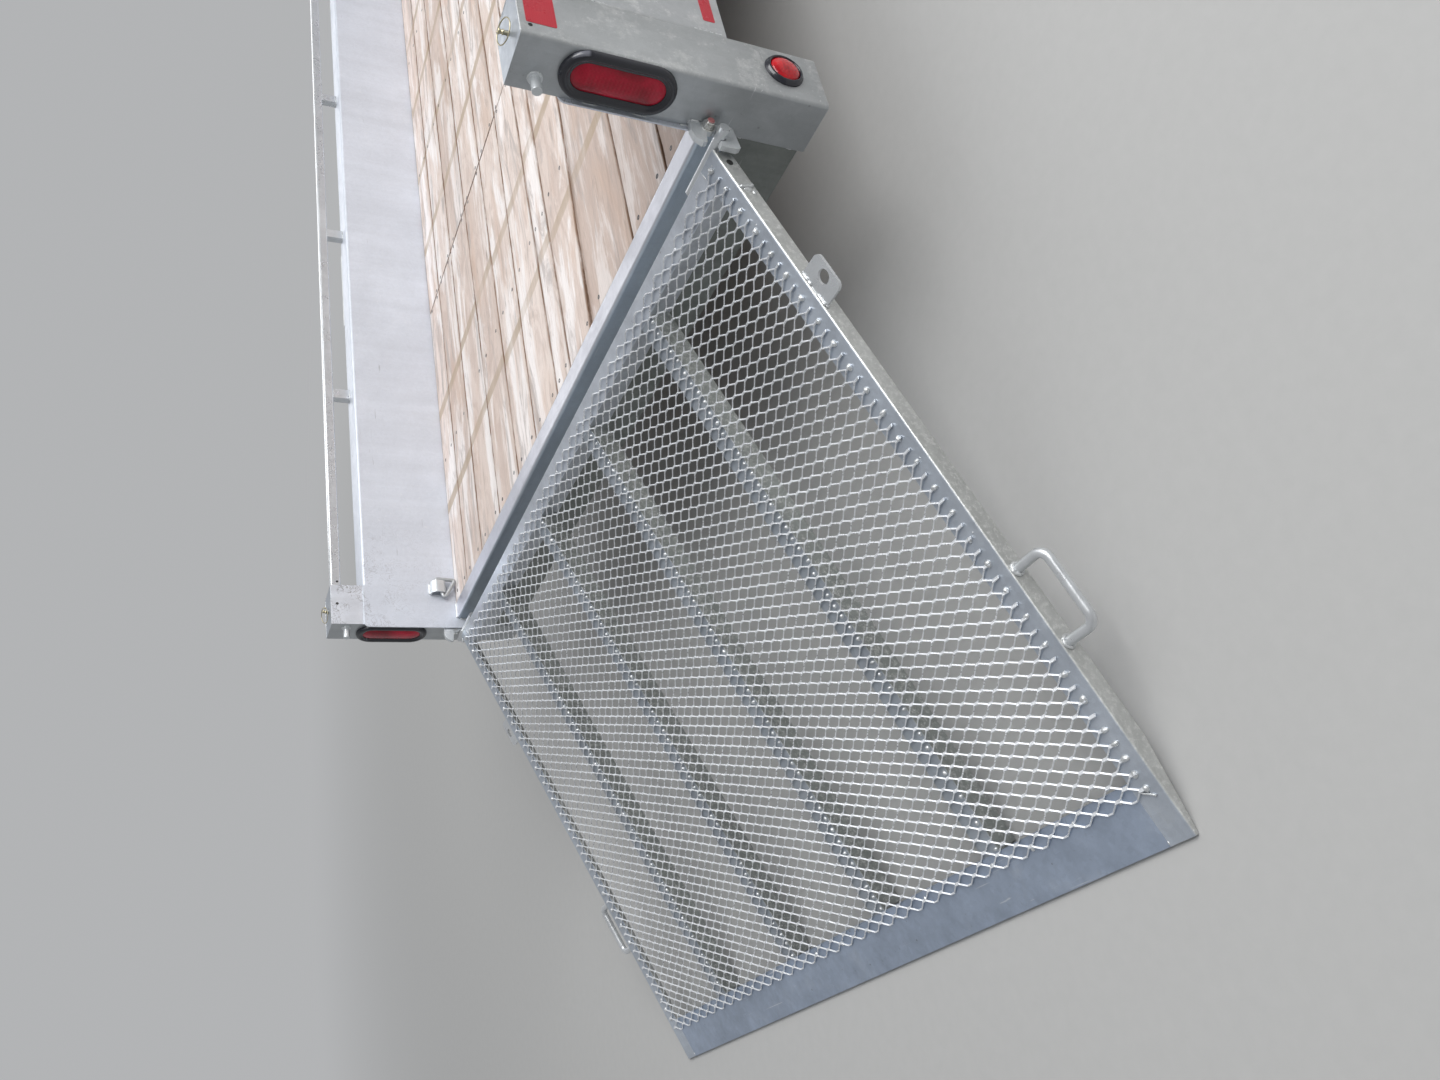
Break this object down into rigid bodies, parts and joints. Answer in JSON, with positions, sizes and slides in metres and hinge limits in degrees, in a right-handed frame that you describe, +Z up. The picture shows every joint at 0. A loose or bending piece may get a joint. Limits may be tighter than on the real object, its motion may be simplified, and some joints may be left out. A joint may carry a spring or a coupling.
{
  "type": "utility trailer",
  "caption": "single-axle utility trailer with a plank deck, box-section galvanised sides, top rails and a mesh loading ramp lowered at the rear",
  "frame": {"origin": "centre of the whole trailer box with the ramp lowered, on the ground", "axes": "+X forward to the coupler, +Y left, +Z up"},
  "size_m": [6.1766, 2.482, 0.972],
  "materials": {
    "galv": "hot-dip galvanised steel, dull grey with faint spangle",
    "galv_bright": "zinc-coated steel tube, brighter than the sheet",
    "zinc": "zinc plated hardware, slightly yellow",
    "wood": "weathered pale softwood planks",
    "black_rubber": "black rubber grommet",
    "red_lens": "red lamp lens",
    "amber_lens": "amber lamp lens",
    "tyre": "black tyre rubber",
    "rim_silver": "silver painted wheel",
    "black_steel": "black painted hub, axle and springs"
  },
  "bodies": {
    "trailer": {"left_side_wall": "galv", "right_side_wall": "galv", "front_wall": "galv", "rear_posts": "galv", "lamp_grommets": "black_rubber", "rear_lamp_lenses": "red_lens", "front_marker_lenses": "amber_lens", "latch_studs": "galv_bright", "linch_pins": "zinc", "top_rails": "galv_bright", "rail_uprights": "galv", "frame_rails": "galv", "front_beam": "galv", "rear_beam": "galv", "rear_apron": "galv", "cross_members": "galv", "deck_planks": "wood", "fenders": "galv", "axle_beam": "black_steel", "leaf_springs": "black_steel", "spring_hangers": "galv", "spring_clamps": "zinc", "tongue_rails": "galv", "coupler": "galv_bright", "coupler_latch": "zinc", "jack_tube": "galv_bright", "jack_crank": "zinc", "tie_downs": "zinc", "hinge_brackets": "galv", "hinge_keeper_bolts": "zinc"},
    "left_wheel": {"left_tyre": "tyre", "left_rim": "rim_silver", "left_hub": "black_steel"},
    "right_wheel": {"right_tyre": "tyre", "right_rim": "rim_silver", "right_hub": "black_steel"},
    "jack_slide": {"jack_leg": "galv_bright"},
    "ramp": {"ramp_side_rails": "galv", "ramp_hinge_rail": "galv", "ramp_toe_plate": "galv", "ramp_stiffeners": "galv", "ramp_mesh": "galv_bright", "ramp_hinge_bars": "galv_bright", "ramp_latch_tabs": "galv", "ramp_handles": "galv_bright"}
  },
  "joints": [
    {"name": "left_wheel_spin", "type": "hinge", "parent": "trailer", "child": "left_wheel", "pos_m": [-0.33672, 1.126, 0.305], "axis": [0, 1, 0], "continuous": true},
    {"name": "right_wheel_spin", "type": "hinge", "parent": "trailer", "child": "right_wheel", "pos_m": [-0.33672, -1.126, 0.305], "axis": [0, 1, 0], "continuous": true},
    {"name": "jack_travel", "type": "slide", "parent": "trailer", "child": "jack_slide", "axis": [0, 0, 1], "range_m": [0, 0.22]},
    {"name": "ramp_hinge", "type": "hinge", "parent": "trailer", "child": "ramp", "pos_m": [-1.87977, 0, 0.48123], "axis": [0, 1, 0], "range_deg": [0, 111.99]}
  ]
}
